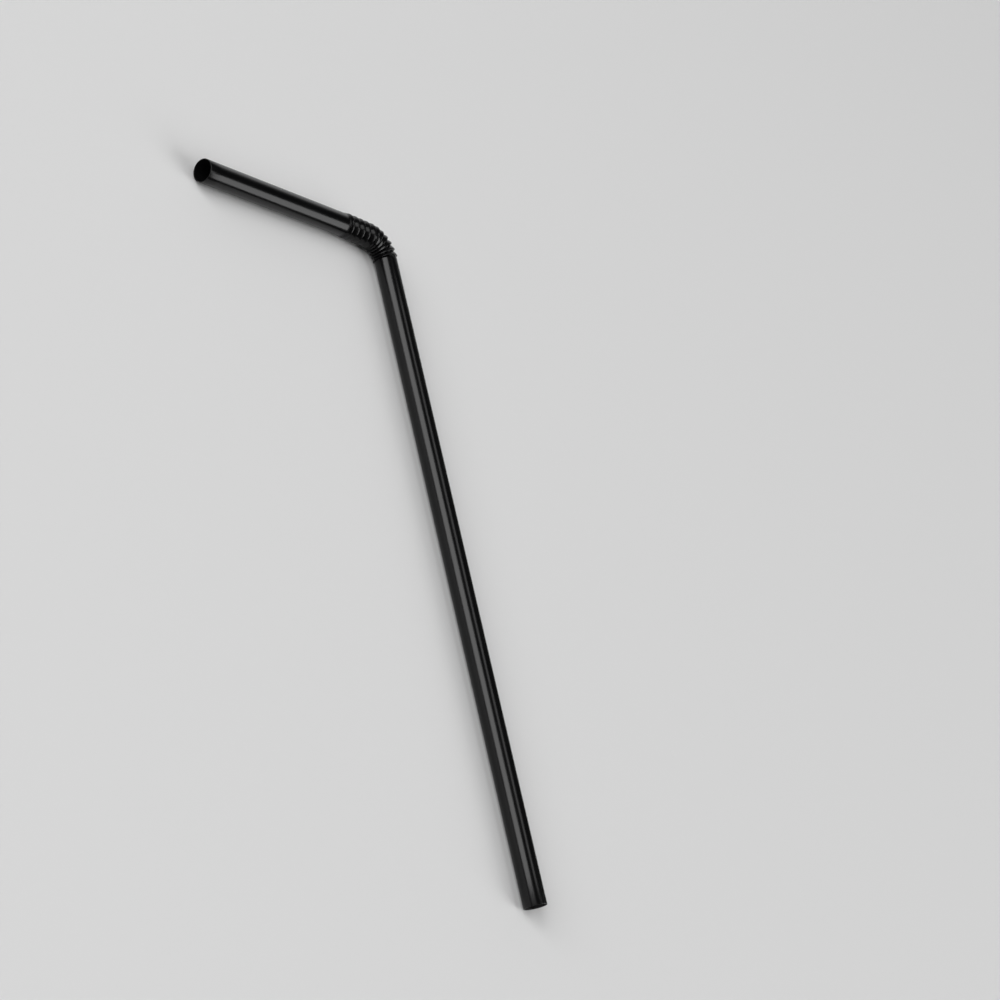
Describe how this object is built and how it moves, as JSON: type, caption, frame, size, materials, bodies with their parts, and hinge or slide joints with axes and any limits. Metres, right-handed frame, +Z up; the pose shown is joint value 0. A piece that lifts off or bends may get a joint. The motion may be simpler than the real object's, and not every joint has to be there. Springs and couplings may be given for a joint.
{
  "type": "flexible drinking straw",
  "caption": "Thin round tube bent at a ridged bellows into a long arm and a short arm, for drinking from a cup.",
  "frame": {"origin": "middle of the lying straw's box, on the surface that it lies on", "axes": "+Z up from that surface, +Y along the long arm from its foot to the bellows, the short arm towards -X"},
  "size_m": [0.0642, 0.1704, 0.006],
  "materials": {
    "straw_plastic": "satin black"
  },
  "bodies": {
    "root": {"straw": "straw_plastic"}
  },
  "joints": []
}
